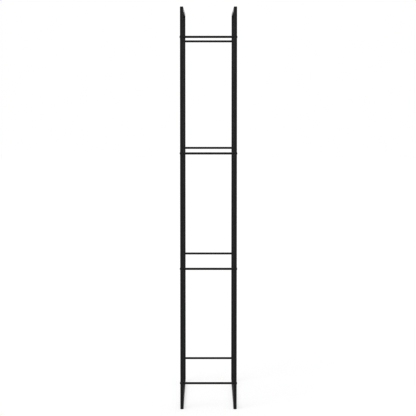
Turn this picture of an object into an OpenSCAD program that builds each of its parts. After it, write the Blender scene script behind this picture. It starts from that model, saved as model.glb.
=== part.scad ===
// Firewood log rack: two tall steel frames, front and back, held apart by round crossbars.
// Origin on the floor at the middle of the rack, X along its length, front towards -Y, +Z up.
// Each frame is a U-shaped foot frame, a U-shaped top frame and stacked post sections. An inner
// sleeve joins every seam, and one bolt passes through post and sleeve into a crossbar's end.

/* [Rack] */
// Length of the rack, over the posts
rack_w = 800; // [300:10:1200]
// Depth of the rack, over the posts and without the bolt heads
rack_d = 280; // [150:10:500]
// Height of the rack
rack_h = 2000; // [1200:10:2400]

/* [Square tube] */
// Outer width of the square tube
tube = 15; // [13:0.5:30]
// Wall of the square tube
wall = 1.2; // [0.8:0.1:2]
// Outer corner radius of the square tube
tube_r = 1.6; // [1:0.1:2.5]

/* [Sections] */
// Height of the U-shaped bottom and top frames
u_frame_h = 139; // [100:1:250]
// Post sections in each corner, between the two U-shaped frames
sections = 3; // [2:1:3]
// From each seam down to the bolt below it
bolt_drop = 9; // [8:0.5:30]

/* [Sleeves] */
// Length of a joining sleeve above its seam, where it is fixed
sleeve_up = 40; // [20:1:60]
// Length of a joining sleeve below its seam, where it slides in
sleeve_down = 40; // [38:1:60]
// Wall of a joining sleeve
sleeve_wall = 1; // [0.8:0.1:2]
// Gap between a sleeve and the bore of the square tube, on each side
sleeve_gap = 0.1; // [0.05:0.05:0.3]

/* [Crossbars] */
// Diameter of a crossbar
bar_d = 10; // [8:0.5:11]
// Chamfer at the ends of a crossbar
bar_chamfer = 0.6; // [0.2:0.1:0.8]
// Tapped depth left past the end of the bolt
tap_spare = 5; // [2:1:10]

/* [Bolts] */
// Thread diameter of a bolt
bolt_d = 6; // [4:0.5:6]
// Length of thread that enters a crossbar
thread_in = 15; // [8:1:25]
// Gap between a bolt and the holes in post and sleeve, on the radius
bolt_gap = 0.2; // [0.1:0.1:0.5]
// Gap between a bolt and its tapped hole, on the radius
thread_gap = 0.05; // [0.02:0.01:0.1]
// Diameter of the bolt's low domed head
head_d = 11; // [9:0.5:12]
// Height of the bolt's head
head_h = 2.2; // [1.8:0.1:3]
// Height of the straight rim below the dome of the head
head_rim = 0.6; // [0.3:0.1:0.8]
// Diameter of the flat on top of the head
head_flat_d = 6.4; // [5.5:0.1:7]
// Hex socket in the head, across its flats
socket_af = 4; // [3:0.5:4]
// Depth of the hex socket
socket_depth = 1.5; // [1:0.1:1.7]

/* [Hidden] */
$fn = 48;
// Overrun of a cutting shape past the face that it cuts
cut = 1;
FACES = ["front", "back"];
SIDES = ["left", "right"];
ENDS = ["bottom", "top"];
// The joints of a corner, counted from the floor, and the sections between them
JOINTS = [1:sections + 1];
POSTS = [1:sections];

bore = tube - 2 * wall;
bore_r = max(tube_r - wall, 0.2);
sleeve = bore - 2 * sleeve_gap;
sleeve_r = bore_r + 0.4;
post_x = (rack_w - tube) / 2;
post_y = (rack_d - tube) / 2;
bar_len = rack_d - 2 * tube;

// Seams share out the height between the U-shaped frames, to a tenth of a millimetre
function seam_z(joint) =
    round(10 * (u_frame_h + (joint - 1) * (rack_h - 2 * u_frame_h) / sections)) / 10;
function bolt_z(joint) = seam_z(joint) - bolt_drop;

// Mirrors a shape made for the right and back corner to the corner that is named
module to_corner(face, side = "right") {
    mirror([side == "left" ? 1 : 0, 0, 0])
        mirror([0, face == "front" ? 1 : 0, 0])
            children();
}

// Turns a shape made for the bottom of the rack upside down for its top
module to_end(end) {
    translate([0, 0, end == "top" ? rack_h : 0])
        mirror([0, 0, end == "top" ? 1 : 0])
            children();
}

// A square with round corners, as the outline of a rolled tube
module rounded_square(size, r) {
    square([size, size - 2 * r], center = true);
    square([size - 2 * r, size], center = true);
    for (x = [-1, 1], y = [-1, 1])
        translate([x, y] * (size / 2 - r)) circle(r);
}

// A straight square tube along +Z
module square_tube(size, wall_t, r, inner_r, length) {
    linear_extrude(length)
        difference() {
            rounded_square(size, r);
            rounded_square(size - 2 * wall_t, inner_r);
        }
}

// The hole for one bolt, through both walls of a tube, along Y
module bolt_hole() {
    rotate([90, 0, 0])
        cylinder(d = bolt_d + 2 * bolt_gap, h = tube + 2 * cut, center = true);
}

// A slab across one frame tube whose side view is the given outline in X and Z
module side_outline(points) {
    translate([0, post_y + tube / 2 + cut, 0])
        rotate([90, 0, 0])
            linear_extrude(tube + 2 * cut)
                polygon(points);
}

// The horizontal tube of a U-shaped frame, mitred at both ends
module rail(face, end) {
    color("#262626") to_end(end) to_corner(face)
        intersection() {
            translate([-rack_w / 2, post_y, tube / 2])
                rotate([0, 90, 0])
                    square_tube(tube, wall, tube_r, bore_r, rack_w);
            side_outline([
                [-rack_w / 2, 0], [rack_w / 2, 0],
                [rack_w / 2 - tube, tube], [tube - rack_w / 2, tube]
            ]);
        }
}

// An upright of a U-shaped frame, mitred to the rail; the bottom ones are drilled for a bolt
module leg(face, side, end) {
    color("#262626") to_end(end) to_corner(face, side)
        difference() {
            intersection() {
                translate([post_x, post_y, 0])
                    square_tube(tube, wall, tube_r, bore_r, u_frame_h);
                side_outline([
                    [rack_w / 2, 0], [rack_w / 2, u_frame_h],
                    [rack_w / 2 - tube, u_frame_h], [rack_w / 2 - tube, tube]
                ]);
            }
            if (end == "bottom")
                translate([post_x, post_y, bolt_z(1)]) bolt_hole();
        }
}

// A straight post section, drilled for the bolt below its upper seam
module post(face, side, n) {
    color("#262626") to_corner(face, side)
        difference() {
            translate([post_x, post_y, seam_z(n)])
                square_tube(tube, wall, tube_r, bore_r, seam_z(n + 1) - seam_z(n));
            translate([post_x, post_y, bolt_z(n + 1)]) bolt_hole();
        }
}

// The inner sleeve of one seam: fixed in the piece above, and slid into the piece below
module sleeve(face, side, joint) {
    color("#8c8f92") to_corner(face, side)
        difference() {
            translate([post_x, post_y, seam_z(joint) - sleeve_down])
                square_tube(sleeve, sleeve_wall, sleeve_r, bore_r, sleeve_down + sleeve_up);
            translate([post_x, post_y, bolt_z(joint)]) bolt_hole();
        }
}

// A round bar between the front and back posts, chamfered and tapped at both ends
module crossbar(side, joint) {
    color("#202020") to_corner("back", side)
        translate([post_x, 0, bolt_z(joint)])
            rotate([90, 0, 0])
                difference() {
                    union() {
                        cylinder(d = bar_d, h = bar_len - 2 * bar_chamfer, center = true);
                        for (end = [0, 1])
                            mirror([0, 0, end])
                                translate([0, 0, bar_len / 2 - bar_chamfer])
                                    cylinder(d1 = bar_d, d2 = bar_d - 2 * bar_chamfer,
                                             h = bar_chamfer);
                    }
                    for (end = [0, 1])
                        mirror([0, 0, end])
                            translate([0, 0, bar_len / 2 - thread_in - tap_spare])
                                cylinder(d = bolt_d + 2 * thread_gap,
                                         h = thread_in + tap_spare + cut);
                }
}

// A bolt along +Z with the underside of its low domed head at the origin
module bolt() {
    tip = bolt_d / 8;
    // The dome is a sphere through the top of the rim and the edge of the flat
    dome_z = (pow(head_flat_d / 2, 2) + pow(head_h, 2) - pow(head_d / 2, 2) - pow(head_rim, 2))
        / (2 * (head_h - head_rim));
    dome_r = norm([head_d / 2, head_rim - dome_z]);
    difference() {
        union() {
            intersection() {
                cylinder(d = head_d, h = head_h);
                translate([0, 0, dome_z]) sphere(dome_r);
            }
            translate([0, 0, tip - tube - thread_in])
                cylinder(d = bolt_d, h = tube + thread_in - tip);
            translate([0, 0, -tube - thread_in])
                cylinder(d1 = bolt_d - 2 * tip, d2 = bolt_d, h = tip);
        }
        translate([0, 0, head_h - socket_depth])
            cylinder(d = socket_af / cos(30), h = socket_depth + cut, $fn = 6);
    }
}

// The four bolts of one level, from the outer faces of the posts into the crossbars
module bolts(joint) {
    color("#303234")
        for (face = FACES, side = SIDES)
            to_corner(face, side)
                translate([post_x, rack_d / 2, bolt_z(joint)])
                    rotate([-90, 0, 0])
                        bolt();
}

for (f = FACES, e = ENDS)
    rail(f, e);
for (f = FACES, s = SIDES, e = ENDS)
    leg(f, s, e);
for (f = FACES, s = SIDES, n = POSTS)
    post(f, s, n);
for (f = FACES, s = SIDES, j = JOINTS)
    sleeve(f, s, j);
for (s = SIDES, j = JOINTS)
    crossbar(s, j);
for (j = JOINTS)
    bolts(j);
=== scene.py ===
"""A firewood log rack in satin black steel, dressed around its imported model.

Twelve post sections and four mitred, welded U-shaped frames make the front and the back; round
crossbars and low domed bolts hold the two together. All places come from the frame.
"""

import bmesh
import bpy
import numpy as np
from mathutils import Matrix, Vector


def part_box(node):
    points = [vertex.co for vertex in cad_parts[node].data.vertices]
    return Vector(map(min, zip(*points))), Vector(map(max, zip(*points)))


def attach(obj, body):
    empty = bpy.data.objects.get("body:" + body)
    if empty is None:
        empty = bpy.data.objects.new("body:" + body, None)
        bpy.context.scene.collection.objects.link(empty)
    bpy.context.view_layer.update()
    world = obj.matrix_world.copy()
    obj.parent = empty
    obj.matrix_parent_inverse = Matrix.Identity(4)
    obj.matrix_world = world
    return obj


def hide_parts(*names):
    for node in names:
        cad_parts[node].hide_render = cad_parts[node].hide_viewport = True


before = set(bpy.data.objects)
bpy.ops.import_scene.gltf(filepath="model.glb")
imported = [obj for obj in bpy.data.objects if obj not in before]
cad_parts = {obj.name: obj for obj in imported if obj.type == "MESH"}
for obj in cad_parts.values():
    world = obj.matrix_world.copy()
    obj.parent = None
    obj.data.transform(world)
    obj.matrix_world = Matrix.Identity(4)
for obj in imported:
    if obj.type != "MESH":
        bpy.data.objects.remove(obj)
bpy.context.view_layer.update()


# ---- Post sections -------------------------------------------------------------------------
# Twelve straight lengths of rolled square steel tube, three stacked in each corner and punched
# through near the top for a bolt. The sawn ends are deburred and the black powder coat runs over
# them, so each seam shows as a fine groove.

WALL = 0.0012
CORNER_RADIUS = 0.0016
CORNER_STEPS = 8
CUT_EDGE = 0.00035
CUT_EDGE_STEPS = 3
HOLE_RADIUS = 0.0032
HOLE_EDGE = 0.0002
HOLE_BELOW_END = 0.009
# A hole sits in a square patch of wall, this far to each side and in this many steps
PATCH = 0.0045
PATCH_STEPS = 8
WELD_DISTANCE = 1e-6
SHARP_ANGLE = np.radians(40)
# The coat: its grain, the waves under the grain, the drift of the film and the worn patches.
# Rates are features per metre
COAT_COLOUR, COAT_WORN = (0.033, 0.033, 0.034), (0.065, 0.065, 0.067)
COAT_GRAIN = {"Grains per metre": 1500.0, "Waves": 0.8, "Specks": 1.2}
GRAIN_ROUGHNESS = 0.55
WAVES_TO_GRAINS = 0.26
FILM_STRETCH = 0.35
FILM_RATES = {"Tone": 38.0, "Gloss": 85.0}
FILM_DRIFT = {"Tone": 0.16, "Gloss": 0.07}
PATCH_RATE = 120.0
PATCH_START, PATCH_FULL = 0.42, 0.68
WORN_POLISH = -0.18
GRAIN_STRENGTH = 0.7
# Places of the colour sockets on a Mix node
MIX_FIRST, MIX_SECOND, MIX_RESULT = 6, 7, 2

post_low, post_high = (np.array(corner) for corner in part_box("front_left_post_1"))
TUBE_HALF = (post_high[0] - post_low[0]) / 2


def grid_quads(rows, columns, rows_close=False, columns_close=True):
    """Quads between neighbouring points of a grid that is stored row after row."""
    row = np.arange(rows if rows_close else rows - 1)[:, None]
    column = np.arange(columns if columns_close else columns - 1)[None, :]
    next_row = (row + 1) % rows
    next_column = (column + 1) % columns
    corners = [
        row * columns + column,
        row * columns + next_column,
        next_row * columns + next_column,
        next_row * columns + column,
    ]
    return np.stack(corners, axis=-1).reshape(-1, 4)


def tube_outline():
    """Points round the tube's section, their outward normals and how far each is into a corner.

    Each side holds the points normal * half + along * stop. Each corner after it holds
    centre + radius * (cos a, sin a) for a quarter turn. The corner value is sin(2a)."""
    flat = TUBE_HALF - CORNER_RADIUS
    stops = np.concatenate([[-flat], np.linspace(-PATCH, PATCH, PATCH_STEPS + 1), [flat]])
    swing = np.linspace(0, np.pi / 2, CORNER_STEPS + 1)[1:-1]
    points, normals, corner = [], [], []
    for side in range(4):
        turn = side * np.pi / 2
        out = np.array([np.cos(turn), np.sin(turn)])
        along = np.array([-out[1], out[0]])
        ray = np.stack([np.cos(turn + swing), np.sin(turn + swing)], axis=1)
        points += [out * TUBE_HALF + along * stops[:, None], (out + along) * flat + CORNER_RADIUS * ray]
        normals += [np.tile(out, (len(stops), 1)), ray]
        corner += [np.zeros(len(stops)), np.sin(2 * swing)]
    return np.concatenate(points), np.concatenate(normals), np.concatenate(corner)


def cut_end(edge):
    """The end of the wall from the outer skin to the inner one: inset from the outer skin and
    distance back from the cut. Each edge is a quarter circle, or square where edge is 0."""
    swing = np.linspace(0, np.pi / 2, CUT_EDGE_STEPS + 1 if edge else 1)
    inset = edge * (1 - np.cos(swing))
    back = edge * (1 - np.sin(swing)) if edge else np.zeros(1)
    return np.concatenate([inset, WALL - inset[::-1]]), np.concatenate([back, back[::-1]])


def tube_shape(low, high, low_edge, high_edge, hole=None):
    """A length of tube: its outline is carried once round the section through its wall.

    low and high give the cut at each end as functions of the outline's points (u, v). A point is
    (u, v) = outline - inset * normal, and w = low + (high - low) * share + step. hole is the
    distance of a bolt hole below the high end; it is punched through the two walls across v."""
    points, normals, corner = tube_outline()
    high_inset, high_back = cut_end(high_edge)
    low_inset, low_back = cut_end(low_edge)
    rows = np.zeros(0) if hole is None else np.linspace(-PATCH, PATCH, PATCH_STEPS + 1) - hole
    skin = np.zeros(len(rows))
    inset = np.concatenate([skin, high_inset, skin + WALL, low_inset[::-1]])
    step = np.concatenate([rows, -high_back, rows[::-1], low_back[::-1]])
    share = np.ones(len(inset))
    share[-len(low_inset):] = 0
    section = points[None] - inset[:, None, None] * normals[None]
    ends = low(section), high(section)
    w = ends[0] + (ends[1] - ends[0]) * share[:, None] + step[:, None]
    shape = np.concatenate([section, w[..., None]], axis=-1).reshape(-1, 3)
    quads = grid_quads(len(inset), len(points), rows_close=True)
    lip = np.sin(np.pi * np.clip(inset / max(high_edge, CUT_EDGE) / 2, 0, 1))
    worn = np.maximum(corner[None], lip[:, None]).reshape(-1)
    if hole is not None:
        level = high(points)[0] - hole
        middle = shape[quads].mean(axis=1)
        punched = (abs(middle[:, 0]) < PATCH) & (abs(middle[:, 2] - level) < PATCH)
        rings, ring_quads = hole_walls(level)
        quads = np.concatenate([quads[~punched], ring_quads + len(shape)])
        shape = np.concatenate([shape, rings])
        worn = np.concatenate([worn, np.zeros(len(rings))])
    return shape, quads, worn


def hole_walls(level):
    """The two punched walls across v: a square that shrinks to a circle on the outer skin, goes
    through the wall as a cylinder with rounded lips, and opens to the same square inside.

    A point is square + (circle - square) * share, at TUBE_HALF - inset from the middle."""
    run = np.linspace(-PATCH, PATCH, PATCH_STEPS + 1)[:-1]
    side = np.full(PATCH_STEPS, PATCH)
    square = np.stack([np.concatenate([run, side, -run, -side]),
                       np.concatenate([-side, run, side, -run])], axis=1)
    ray = square / np.linalg.norm(square, axis=1)[:, None]
    mouth = HOLE_RADIUS + HOLE_EDGE
    radius = np.array([0, mouth, HOLE_RADIUS, HOLE_RADIUS, mouth, 0])
    inset = np.array([0, 0, HOLE_EDGE, WALL - HOLE_EDGE, WALL, WALL])
    ring = np.where(radius[:, None, None] > 0, ray[None] * radius[:, None, None], square[None])
    depth = np.broadcast_to((TUBE_HALF - inset)[:, None], ring.shape[:2])
    wall = np.stack([ring[..., 0], depth, ring[..., 1] + level], axis=-1).reshape(-1, 3)
    quads = grid_quads(len(inset), len(square))
    return np.concatenate([wall, wall * [1, -1, 1]]), np.concatenate([quads, quads + len(wall)])


def piece_from(name, shape, quads, worn, material):
    """A closed piece from points and quads: doubles merged, faces turned outwards, edges that
    turn more than SHARP_ANGLE kept sharp, and normals weighted towards the larger faces."""
    mesh = bpy.data.meshes.new(name)
    mesh.vertices.add(len(shape))
    mesh.vertices.foreach_set("co", shape.astype(np.float32).ravel())
    mesh.loops.add(quads.size)
    mesh.loops.foreach_set("vertex_index", quads.astype(np.int32).ravel())
    mesh.polygons.add(len(quads))
    mesh.polygons.foreach_set("loop_start", np.arange(0, quads.size, 4, dtype=np.int32))
    mesh.attributes.new("worn", "FLOAT", "POINT").data.foreach_set("value", worn.astype(np.float32))
    mesh.update(calc_edges=True)
    work = bmesh.new()
    work.from_mesh(mesh)
    bmesh.ops.remove_doubles(work, verts=work.verts, dist=WELD_DISTANCE)
    bmesh.ops.recalc_face_normals(work, faces=work.faces)
    work.to_mesh(mesh)
    work.free()
    mesh.shade_smooth()
    mesh.set_sharp_from_angle(angle=SHARP_ANGLE)
    mesh.materials.append(material)
    piece = bpy.data.objects.new(name, mesh)
    bpy.context.scene.collection.objects.link(piece)
    weighted = piece.modifiers.new("even_shading", "WEIGHTED_NORMAL")
    weighted.keep_sharp = True
    return piece


def effect(name, inputs, outputs):
    """An empty node group with named float inputs and outputs, and its two end nodes."""
    tree = bpy.data.node_groups.new(name, "ShaderNodeTree")
    for label, value in inputs.items():
        tree.interface.new_socket(label, in_out="INPUT", socket_type="NodeSocketFloat").default_value = value
    for label in outputs:
        tree.interface.new_socket(label, in_out="OUTPUT", socket_type="NodeSocketFloat")
    return tree, tree.nodes.new("NodeGroupInput"), tree.nodes.new("NodeGroupOutput")


def node(tree, kind, links=None, **settings):
    """A node of that kind. links gives its inputs as sockets or plain values, by name or number."""
    made = tree.nodes.new(kind)
    for label, value in settings.items():
        setattr(made, label, value)
    for label, value in (links or {}).items():
        if isinstance(value, bpy.types.NodeSocket):
            tree.links.new(value, made.inputs[label])
        else:
            made.inputs[label].default_value = value
    return made


def math_node(tree, operation, first, second):
    """The output of a math node with two inputs."""
    return node(tree, "ShaderNodeMath", {0: first, 1: second}, operation=operation).outputs[0]


def coat_grain():
    """Orange peel of a baked powder coat: fine noise plus a share of waves about four times as
    wide. Height runs from 0 to about 1, and Speck is the fine noise alone, about 0, times Specks."""
    tree, given, result = effect(
        "coat_grain", {"Grains per metre": 1500.0, "Waves": 0.5, "Specks": 0.5}, ["Height", "Speck"])
    place = node(tree, "ShaderNodeTexCoord").outputs["Object"]
    wave_rate = math_node(tree, "MULTIPLY", given.outputs["Grains per metre"], WAVES_TO_GRAINS)
    fine = node(tree, "ShaderNodeTexNoise", {"Vector": place, "Scale": given.outputs["Grains per metre"],
                                             "Detail": 2.0, "Roughness": GRAIN_ROUGHNESS})
    wide = node(tree, "ShaderNodeTexNoise", {"Vector": place, "Scale": wave_rate, "Detail": 1.0})
    waves = math_node(tree, "MULTIPLY", wide.outputs[0], given.outputs["Waves"])
    centred = math_node(tree, "SUBTRACT", fine.outputs[0], 0.5)
    tree.links.new(math_node(tree, "ADD", fine.outputs[0], waves), result.inputs["Height"])
    tree.links.new(math_node(tree, "MULTIPLY", centred, given.outputs["Specks"]), result.inputs["Speck"])
    return tree


def coat_tone():
    """Slow drift of film thickness: low noise a few centimetres wide, stretched along the rack's
    height. Tone and Gloss run from -1 to 1 times their amounts."""
    tree, given, result = effect("coat_tone", {"Tone": 0.1, "Gloss": 0.05}, ["Tone", "Gloss"])
    place = node(tree, "ShaderNodeTexCoord").outputs["Object"]
    drawn = node(tree, "ShaderNodeMapping", {"Vector": place, "Scale": (1.0, 1.0, FILM_STRETCH)}).outputs[0]
    for label, rate in FILM_RATES.items():
        drift = node(tree, "ShaderNodeTexNoise", {"Vector": drawn, "Scale": rate, "Detail": 3.0})
        centred = math_node(tree, "SUBTRACT", drift.outputs[0], 0.5)
        doubled = math_node(tree, "MULTIPLY", centred, 2.0)
        tree.links.new(math_node(tree, "MULTIPLY", doubled, given.outputs[label]), result.inputs[label])
    return tree


def handled_edges():
    """Edges burnished by handling: the piece's worn value, broken up by patchy noise and scaled
    by Amount."""
    tree, given, result = effect("handled_edges", {"Amount": 0.5}, ["Mask"])
    place = node(tree, "ShaderNodeTexCoord").outputs["Object"]
    worn = node(tree, "ShaderNodeAttribute", attribute_name="worn").outputs["Fac"]
    patches = node(tree, "ShaderNodeTexNoise", {"Vector": place, "Scale": PATCH_RATE, "Detail": 4.0})
    ramp = node(tree, "ShaderNodeMapRange",
                {"Value": patches.outputs[0], "From Min": PATCH_START, "From Max": PATCH_FULL})
    broken = math_node(tree, "MULTIPLY", worn, ramp.outputs[0])
    tree.links.new(math_node(tree, "MULTIPLY", broken, given.outputs["Amount"]), result.inputs["Mask"])
    return tree


GRAIN = coat_grain()
TONE = coat_tone()
EDGES = handled_edges()


def coated_steel(name, colour, edge_colour, roughness, specular, grain, depth, edge_amount):
    """Powder-coated or blackened steel: the colour drifts with the film's tone and the grain's
    specks and lightens on handled edges, the roughness drifts with the film's gloss, and the
    grain is bump of that depth."""
    material = bpy.data.materials.new(name)
    material.use_nodes = True
    tree = material.node_tree
    surface = tree.nodes["Principled BSDF"]
    film = node(tree, "ShaderNodeGroup", FILM_DRIFT, node_tree=TONE)
    rubbed = node(tree, "ShaderNodeGroup", {"Amount": edge_amount}, node_tree=EDGES).outputs["Mask"]
    peel = node(tree, "ShaderNodeGroup", grain, node_tree=GRAIN)
    drift = math_node(tree, "ADD", film.outputs["Tone"], peel.outputs["Speck"])
    shade = math_node(tree, "ADD", drift, 1.0)
    toned = node(tree, "ShaderNodeVectorMath", {0: colour, "Scale": shade}, operation="SCALE")
    mixed = node(tree, "ShaderNodeMix", {0: rubbed, MIX_FIRST: toned.outputs[0],
                                         MIX_SECOND: (*edge_colour, 1.0)}, data_type="RGBA")
    rough = math_node(tree, "ADD", film.outputs["Gloss"], roughness)
    polished = math_node(tree, "MULTIPLY", rubbed, WORN_POLISH)
    bump = node(tree, "ShaderNodeBump", {"Strength": GRAIN_STRENGTH, "Distance": depth,
                                         "Height": peel.outputs["Height"]})
    tree.links.new(mixed.outputs[MIX_RESULT], surface.inputs["Base Color"])
    tree.links.new(math_node(tree, "ADD", rough, polished), surface.inputs["Roughness"])
    tree.links.new(bump.outputs[0], surface.inputs["Normal"])
    surface.inputs["Specular IOR Level"].default_value = specular
    return material


powder_coat = coated_steel(
    "powder_coat", colour=COAT_COLOUR, edge_colour=COAT_WORN, roughness=0.23, specular=0.30,
    grain=COAT_GRAIN, depth=0.00006, edge_amount=0.7)


def square_cut(level):
    """A cut straight across the tube at that height."""
    return lambda section: np.full(section.shape[:-1], level)


for face in ("front", "back"):
    for side in ("left", "right"):
        for number in (1, 2, 3):
            post = f"{face}_{side}_post_{number}"
            low, high = (np.array(corner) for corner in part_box(post))
            shape, quads, worn = tube_shape(
                square_cut(low[2]), square_cut(high[2]), CUT_EDGE, CUT_EDGE, HOLE_BELOW_END)
            shape = shape + [(low[0] + high[0]) / 2, (low[1] + high[1]) / 2, 0]
            piece = piece_from(f"post_{face}_{side}_{number}", shape, quads, worn, powder_coat)
            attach(piece, "root")
            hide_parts(post)


# ---- Bottom and top frames -----------------------------------------------------------------
# Four U-shaped frames of the same tube: a long rail with a short leg at each end, cut to 45
# degrees and welded. The bottom legs are punched for a bolt; the top legs carry fixed sleeves
# and have no hole. The coat covers tube and weld alike.

SIGN = {"left": -1, "right": 1, "bottom": -1, "top": 1, "front": -1, "back": 1}


def mitre_cut(outer, direction, axis, outside):
    """A cut at 45 degrees. It starts at outer on the tube's outside face, which lies at
    outside * TUBE_HALF along that axis of the section, and moves with depth into the frame."""
    return lambda section: outer + direction * (TUBE_HALF - outside * section[..., axis])


for face in ("front", "back"):
    for end in ("bottom", "top"):
        rail = f"{face}_{end}_rail"
        low, high = (np.array(corner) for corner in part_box(rail))
        shape, quads, worn = tube_shape(
            mitre_cut(low[0], 1, 1, SIGN[end]), mitre_cut(high[0], -1, 1, SIGN[end]), 0, 0)
        shape = shape[:, [2, 0, 1]] + [0, (low[1] + high[1]) / 2, (low[2] + high[2]) / 2]
        piece = piece_from(f"rail_{face}_{end}", shape, quads, worn, powder_coat)
        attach(piece, "root")
        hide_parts(rail)
        for side in ("left", "right"):
            leg = f"{face}_{side}_{end}_leg"
            low, high = (np.array(corner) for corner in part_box(leg))
            if end == "bottom":
                shape, quads, worn = tube_shape(
                    mitre_cut(low[2], 1, 0, SIGN[side]), square_cut(high[2]), 0, CUT_EDGE,
                    HOLE_BELOW_END)
            else:
                shape, quads, worn = tube_shape(
                    square_cut(low[2]), mitre_cut(high[2], -1, 0, SIGN[side]), CUT_EDGE, 0)
            shape = shape + [(low[0] + high[0]) / 2, (low[1] + high[1]) / 2, 0]
            piece = piece_from(f"leg_{face}_{side}_{end}", shape, quads, worn, powder_coat)
            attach(piece, "root")
            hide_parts(leg)


# ---- Corner welds --------------------------------------------------------------------------
# One weld at each of the eight mitres, laid in small overlapping pools. It is a full fillet in
# the inner corner, runs over the rolled edges, and is dressed almost flat on the front and back
# faces. The outer edge of each corner is ground flush.

WELD_STEP = 0.0003
WELD_ROUND = 16
FILLET_HEIGHT, FILLET_HALF_WIDTH = 0.0023, 0.0029
DRESSED_HEIGHT, DRESSED_HALF_WIDTH = 0.00016, 0.0016
POOL_PITCH = 0.0017
POOL_DEPTH = 0.09
POOL_CURVE = 0.35
WELD_TAPER = 0.003
WELD_UNDERSIDE = 0.3


def seam_line():
    """The mitre's seam over the tube's section, as distance across the tube, distance in from
    its outer face, and the outward normal: up one face, round a rolled edge, across the inner
    face, round the other edge and back down the other face."""
    flat = TUBE_HALF - CORNER_RADIUS
    diagonal = np.sqrt(2.0)
    face_steps = np.linspace(-flat, flat, int(2 * flat * diagonal / WELD_STEP))
    inner_steps = np.linspace(flat, 0, int(flat / WELD_STEP), endpoint=False)
    swing = np.linspace(0, np.pi / 2, int(CORNER_RADIUS * 2 / WELD_STEP) + 1)[1:-1]
    across = np.concatenate([np.full(len(face_steps), TUBE_HALF),
                             flat + CORNER_RADIUS * np.cos(swing), inner_steps, [0]])
    depth = np.concatenate([face_steps, flat + CORNER_RADIUS * np.sin(swing),
                            np.full(len(inner_steps) + 1, TUBE_HALF)])
    normal = np.stack([np.concatenate([np.ones(len(face_steps)), np.cos(swing), inner_steps * 0, [0]]),
                       np.concatenate([face_steps * 0, np.sin(swing), inner_steps * 0 + 1, [1]])], axis=1)
    across = np.concatenate([across, -across[-2::-1]])
    depth = np.concatenate([depth, depth[-2::-1]]) + TUBE_HALF
    normal = np.concatenate([normal, normal[-2::-1] * [-1, 1]])
    return across, depth, normal


def weld_shape(outer, side, up):
    """A bead carried along the seam from the frame's outer corner at outer.

    A point is seam + sideways * half width * cos a + normal * height * sin a. Height and width
    grow with the normal's inward share squared, fade out over WELD_TAPER at both ends, and the
    height ripples along the seam in pools whose fronts bend back by POOL_CURVE * cos(a) squared."""
    across, depth, normal = seam_line()
    diagonal = np.sqrt(0.5)
    inward = np.array([-side, 0, up]) * diagonal
    sideways = np.array([side, 0, up]) * diagonal
    seam = outer + across[:, None] * [0, 1, 0] + depth[:, None] * [-side, 0, up]
    out = normal[:, :1] * [0, 1, 0] + normal[:, 1:] * inward
    run = np.concatenate([[0], np.cumsum(np.linalg.norm(np.diff(seam, axis=0), axis=1))])
    fillet = normal[:, 1] ** 2
    left = np.clip(np.minimum(run, run[-1] - run) / WELD_TAPER, 0, 1)
    fade = np.sqrt(1 - (1 - left) ** 2)
    height = fade * (DRESSED_HEIGHT + (FILLET_HEIGHT - DRESSED_HEIGHT) * fillet)
    half_width = fade * (DRESSED_HALF_WIDTH + (FILLET_HALF_WIDTH - DRESSED_HALF_WIDTH) * fillet)
    angle = np.arange(WELD_ROUND) * 2 * np.pi / WELD_ROUND
    pool = run[:, None] / POOL_PITCH - POOL_CURVE * np.cos(angle) ** 2
    ripple = 1 + POOL_DEPTH * np.cos(2 * np.pi * pool)
    rise = np.where(np.sin(angle) > 0, np.sin(angle), WELD_UNDERSIDE * np.sin(angle))
    lift = height[:, None] * rise * ripple
    spread = half_width[:, None] * np.cos(angle)
    shape = seam[:, None] + spread[..., None] * sideways + lift[..., None] * out[:, None]
    return shape.reshape(-1, 3), grid_quads(len(run), WELD_ROUND)


weld_coat = coated_steel(
    "weld_coat", colour=COAT_COLOUR, edge_colour=COAT_WORN, roughness=0.23, specular=0.30,
    grain=COAT_GRAIN, depth=0.00006, edge_amount=0.0)

for face in ("front", "back"):
    for side in ("left", "right"):
        for end in ("bottom", "top"):
            low, high = (np.array(corner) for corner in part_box(f"{face}_{side}_{end}_leg"))
            outer = np.array([
                high[0] if side == "right" else low[0],
                (low[1] + high[1]) / 2,
                low[2] if end == "bottom" else high[2]])
            shape, quads = weld_shape(outer, SIGN[side], -SIGN[end])
            piece = piece_from(
                f"weld_{face}_{side}_{end}", shape, quads, np.zeros(len(shape)), weld_coat)
            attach(piece, "root")


# ---- Joining sleeves -----------------------------------------------------------------------
# Sixteen short lengths of smaller square tube, fixed in the piece above each seam and slid into
# the piece below it. Plain drawn steel, uncoated, with fine lines along its length.

DRAWN_LINES = 2600.0
DRAWN_STRETCH = 0.01
LINE_DARK, LINE_BRIGHT = 0.85, 1.1
LINE_DEPTH = 0.00001
LINE_STRENGTH = 0.5


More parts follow.
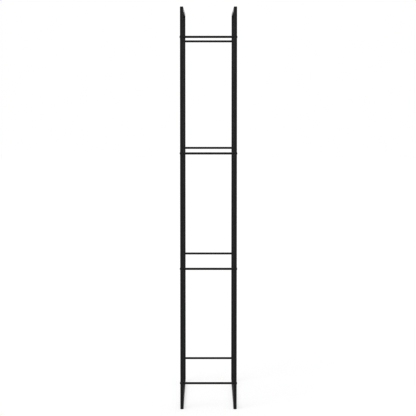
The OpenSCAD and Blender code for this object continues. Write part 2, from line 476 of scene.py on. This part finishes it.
def drawn_steel(name, colour, roughness):
    """Bare drawn tube: noise stretched along the height gives the lines in colour, roughness
    and height."""
    material = bpy.data.materials.new(name)
    material.use_nodes = True
    tree = material.node_tree
    surface = tree.nodes["Principled BSDF"]
    place = node(tree, "ShaderNodeTexCoord").outputs["Object"]
    drawn = node(tree, "ShaderNodeMapping", {"Vector": place, "Scale": (1.0, 1.0, DRAWN_STRETCH)}).outputs[0]
    lines = node(tree, "ShaderNodeTexNoise", {"Vector": drawn, "Scale": DRAWN_LINES, "Detail": 3.0})
    bright = node(tree, "ShaderNodeMapRange",
                  {"Value": lines.outputs[0], "To Min": LINE_DARK, "To Max": LINE_BRIGHT})
    toned = node(tree, "ShaderNodeVectorMath", {0: colour, "Scale": bright.outputs[0]}, operation="SCALE")
    rough = math_node(tree, "MULTIPLY", lines.outputs[0], roughness * 2)
    bump = node(tree, "ShaderNodeBump",
                {"Strength": LINE_STRENGTH, "Distance": LINE_DEPTH, "Height": lines.outputs[0]})
    tree.links.new(toned.outputs[0], surface.inputs["Base Color"])
    tree.links.new(rough, surface.inputs["Roughness"])
    tree.links.new(bump.outputs[0], surface.inputs["Normal"])
    surface.inputs["Metallic"].default_value = 1.0
    return material


plain_steel = drawn_steel("plain_steel", colour=(0.42, 0.43, 0.44), roughness=0.42)

for name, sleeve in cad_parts.items():
    if "_sleeve_" in name:
        sleeve.material_slots[0].material = plain_steel


# ---- Crossbars -----------------------------------------------------------------------------
# Eight solid round bars between the front and back posts, two at each level. Their ends are
# faced, chamfered and tapped for the bolts, and seat flat against the posts' inner faces. Their
# black powder coat is a shade darker and duller than the frames'.

BAR_AROUND = 48
BAR_CHAMFER = 0.0006
TAP_RADIUS = 0.00305
TAP_DEPTH = 0.020
TAP_MOUTH = 0.0004
DRILL_POINT = 0.0018

bar_coat = coated_steel(
    "bar_coat", colour=(0.026, 0.026, 0.027), edge_colour=(0.055, 0.055, 0.057),
    roughness=0.36, specular=0.28, grain=COAT_GRAIN, depth=0.00008, edge_amount=0.6)


def turned_shape(radius, along, around):
    """A turned solid: each pair of radius and distance along the axis becomes a ring of points
    (radius * cos a, distance, radius * sin a). Radius 0 closes the end."""
    angle = np.arange(around) * 2 * np.pi / around
    rings = [radius[:, None] * np.cos(angle), np.repeat(along[:, None], around, axis=1),
             radius[:, None] * np.sin(angle)]
    return np.stack(rings, axis=-1).reshape(-1, 3), grid_quads(len(radius), around)


for side in ("left", "right"):
    for number in (1, 2, 3, 4):
        bar = f"{side}_crossbar_{number}"
        low, high = (np.array(corner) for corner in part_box(bar))
        bar_radius = (high[2] - low[2]) / 2
        bar_half = (high[1] - low[1]) / 2
        radius = np.array([0, TAP_RADIUS, TAP_RADIUS, TAP_RADIUS + TAP_MOUTH,
                           bar_radius - BAR_CHAMFER, bar_radius, bar_radius])
        along = np.array([TAP_DEPTH + DRILL_POINT, TAP_DEPTH, TAP_MOUTH, 0,
                          0, BAR_CHAMFER, 2 * BAR_CHAMFER]) - bar_half
        worn = np.array([0, 0, 0, 0, 1, 1, 0.0])
        shape, quads = turned_shape(
            np.concatenate([radius, radius[::-1]]), np.concatenate([along, -along[::-1]]), BAR_AROUND)
        worn = np.repeat(np.concatenate([worn, worn[::-1]]), BAR_AROUND)
        shape = shape + [(low[0] + high[0]) / 2, 0, (low[2] + high[2]) / 2]
        piece = piece_from(f"crossbar_{side}_{number}", shape, quads, worn, bar_coat)
        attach(piece, "root")
        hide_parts(bar)


# ---- Bolts ---------------------------------------------------------------------------------
# Sixteen M6 bolts with low domed heads and a hex socket, one through each post and sleeve into a
# crossbar's end. Cold-formed steel with rolled threads, blackened, and each one stops at its own
# angle when it is tightened.

BOLT_AROUND = 36
HEAD_RADIUS = 0.0055
HEAD_RIM = 0.0006
RIM_EDGE = 0.0002
HEAD_FLAT_RADIUS = 0.0032
DOME_STEPS = 8
SOCKET_FLATS = 0.004
SOCKET_EDGE = 0.0002
SOCKET_DEPTH = 0.0015
SOCKET_POINT = 0.0004
BOLT_LENGTH = 0.030
THREAD_RADIUS = 0.003
THREAD_DEPTH = 0.0005
THREAD_PITCH = 0.001
THREAD_LENGTH = 0.018
THREAD_STEPS = 6
TIP_CHAMFER = 0.0008
# The flat runs in to this many socket half widths. The last rings but two, from the top of the
# dome to the lip of the socket, are the ones that wear
FLAT_INNER = 1.25
WORN_RINGS = slice(-6, -2)
TIGHTENING_SEED = 6

black_oxide = coated_steel(
    "black_oxide", colour=(0.016, 0.016, 0.017), edge_colour=(0.06, 0.06, 0.062),
    roughness=0.38, specular=0.5, grain={"Grains per metre": 2600.0, "Waves": 0.3, "Specks": 0.4},
    depth=0.000008, edge_amount=0.8)

HEAD_HEIGHT = post_low[1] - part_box("bolts_1")[0][1]


def bolt_shape(turn):
    """A bolt along its axis, head outwards from 0: rings of points at radius r(a).

    The shank's thread is r = core + depth * (1 - |2 f - 1|), where f is the fraction of
    distance / pitch - a / turn. The dome is an arc of a circle through the rim's top and the
    edge of the flat. The socket blends from a circle to the hexagon r = half flats / cos(b),
    where b is the angle from the middle of the nearest flat."""
    angle = np.arange(BOLT_AROUND) * 2 * np.pi / BOLT_AROUND
    hexagon = SOCKET_FLATS / 2 / np.cos(np.mod(angle, np.pi / 3) - np.pi / 6)
    core = THREAD_RADIUS - THREAD_DEPTH
    start = TIP_CHAMFER - BOLT_LENGTH
    thread_rings = np.arange(int(THREAD_LENGTH / THREAD_PITCH * THREAD_STEPS))
    thread = start + thread_rings * THREAD_PITCH / THREAD_STEPS
    fraction = np.mod(thread[:, None] / THREAD_PITCH - angle / (2 * np.pi), 1)
    runout = np.clip((thread[-1] - thread) / THREAD_PITCH, 0, 1)[:, None]
    crest = core + THREAD_DEPTH * (1 - abs(2 * fraction - 1)) * runout
    drop = HEAD_RADIUS ** 2 - HEAD_FLAT_RADIUS ** 2 + HEAD_RIM ** 2 - HEAD_HEIGHT ** 2
    centre = drop / (2 * (HEAD_RIM - HEAD_HEIGHT))
    dome_radius = np.hypot(HEAD_RADIUS, HEAD_RIM - centre)
    sweep = np.linspace(np.arcsin(HEAD_RADIUS / dome_radius),
                        np.arcsin(HEAD_FLAT_RADIUS / dome_radius), DOME_STEPS)
    tip_radius = np.array([0, core - TIP_CHAMFER])
    tip_along = np.array([-BOLT_LENGTH, -BOLT_LENGTH])
    neck_radius = np.array([core, core, HEAD_RADIUS - RIM_EDGE, HEAD_RADIUS])
    neck_along = np.array([thread[-1] + THREAD_PITCH, 0, 0, RIM_EDGE])
    head_radius = np.concatenate([dome_radius * np.sin(sweep), [SOCKET_FLATS / 2 * FLAT_INNER]])
    head_along = np.concatenate([centre + dome_radius * np.cos(sweep), [HEAD_HEIGHT]])
    floor = HEAD_HEIGHT - SOCKET_DEPTH
    rings = [np.repeat(tip_radius[:, None], BOLT_AROUND, axis=1), crest,
             np.repeat(neck_radius[:, None], BOLT_AROUND, axis=1),
             np.repeat(head_radius[:, None], BOLT_AROUND, axis=1),
             hexagon[None], hexagon[None], 0 * hexagon[None]]
    along = np.concatenate([tip_along, thread, neck_along, head_along,
                            [HEAD_HEIGHT - SOCKET_EDGE, floor, floor - SOCKET_POINT]])
    radius = np.concatenate(rings)
    worn = np.zeros(len(along))
    worn[WORN_RINGS] = 1
    turned = angle + turn
    shape = np.stack([radius * np.cos(turned), np.repeat(along[:, None], BOLT_AROUND, axis=1),
                      radius * np.sin(turned)], axis=-1)
    return shape.reshape(-1, 3), grid_quads(len(along), BOLT_AROUND), np.repeat(worn, BOLT_AROUND)


tightened = np.random.default_rng(TIGHTENING_SEED)
for face in ("front", "back"):
    for side in ("left", "right"):
        post_box = [np.array(corner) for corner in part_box(f"{face}_{side}_post_1")]
        seat = post_box[0][1] if face == "front" else post_box[1][1]
        for number in (1, 2, 3, 4):
            low, high = (np.array(corner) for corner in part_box(f"{side}_crossbar_{number}"))
            shape, quads, worn = bolt_shape(tightened.uniform(0, np.pi / 3))
            shape = shape * [1, SIGN[face], 1] + [(low[0] + high[0]) / 2, seat, (low[2] + high[2]) / 2]
            piece = piece_from(f"bolt_{face}_{side}_{number}", shape, quads, worn, black_oxide)
            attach(piece, "root")
            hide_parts(f"bolts_{number}")


# ---- Studio --------------------------------------------------------------------------------
# A pale floor that runs out into an equally pale surround, which lights the rack evenly from all
# round. One wide soft light stands far off to the upper left behind the camera, so that it falls
# evenly. A long lens stands at the rack's right-hand end, at standing eye height.

FLOOR_SIZE = 60.0
FLOOR_COLOUR = (0.2, 0.2, 0.2, 1.0)
# To the camera the floor glows by just so much that it shows as white, with faint shadows. It
# lights the rack with about half of that, so the undersides of tubes and bars stay dark
FLOOR_SEEN, FLOOR_GIVEN = 0.73, 0.4
FLOOR_ROUGHNESS = 0.9
LIGHT_STRENGTH = 2.0
SURROUND_STRENGTH = 1.0
LIGHT_WIDTH = np.radians(40)
LIGHT_TURN = (np.radians(52), 0, np.radians(56))
# Below 1 this deepens the darks and leaves white as it is. The value was found by trial, to give
# the thin bars weight in a small picture. At 1 the same coat shows as charcoal
PICTURE_GAMMA = 0.65
CAMERA_PLACE = (8.7205, -0.0025, 1.5962)
CAMERA_TILT = 0.0706
CAMERA_LENS = 145.69
CAMERA_SENSOR = 36.0
CAMERA_REACH = 200.0

scene = bpy.context.scene
scene.view_settings.view_transform = "Standard"
scene.view_settings.gamma = PICTURE_GAMMA

world = bpy.data.worlds.new("surround")
scene.world = world
world.use_nodes = True
world.node_tree.nodes["Background"].inputs["Color"].default_value = (1.0, 1.0, 1.0, 1.0)
world.node_tree.nodes["Background"].inputs["Strength"].default_value = SURROUND_STRENGTH

pale = bpy.data.materials.new("pale_floor")
pale.use_nodes = True
pale_surface = pale.node_tree.nodes["Principled BSDF"]
pale_surface.inputs["Base Color"].default_value = FLOOR_COLOUR
pale_surface.inputs["Roughness"].default_value = FLOOR_ROUGHNESS
pale_surface.inputs["Specular IOR Level"].default_value = 0.0
pale_surface.inputs["Emission Color"].default_value = (1.0, 1.0, 1.0, 1.0)
camera_ray = node(pale.node_tree, "ShaderNodeLightPath").outputs["Is Camera Ray"]
glow = node(pale.node_tree, "ShaderNodeMapRange",
            {"Value": camera_ray, "To Min": FLOOR_GIVEN, "To Max": FLOOR_SEEN})
pale.node_tree.links.new(glow.outputs[0], pale_surface.inputs["Emission Strength"])

floor_mesh = bpy.data.meshes.new("floor")
edge = FLOOR_SIZE / 2
floor_mesh.from_pydata([(-edge, -edge, 0), (edge, -edge, 0), (edge, edge, 0), (-edge, edge, 0)],
                       [], [(0, 1, 2, 3)])
floor_mesh.materials.append(pale)
floor_sheet = bpy.data.objects.new("floor", floor_mesh)
scene.collection.objects.link(floor_sheet)

light = bpy.data.lights.new("soft_light", "SUN")
light.angle = LIGHT_WIDTH
light.energy = LIGHT_STRENGTH
lamp = bpy.data.objects.new("soft_light", light)
lamp.rotation_euler = LIGHT_TURN
scene.collection.objects.link(lamp)

lens = bpy.data.cameras.new("camera")
lens.lens = CAMERA_LENS
lens.sensor_width = CAMERA_SENSOR
lens.clip_end = CAMERA_REACH
camera = bpy.data.objects.new("camera", lens)
camera.location = CAMERA_PLACE
camera.rotation_euler = (np.pi / 2 - CAMERA_TILT, 0, np.pi / 2)
scene.collection.objects.link(camera)
scene.camera = camera

bpy.context.view_layer.update()
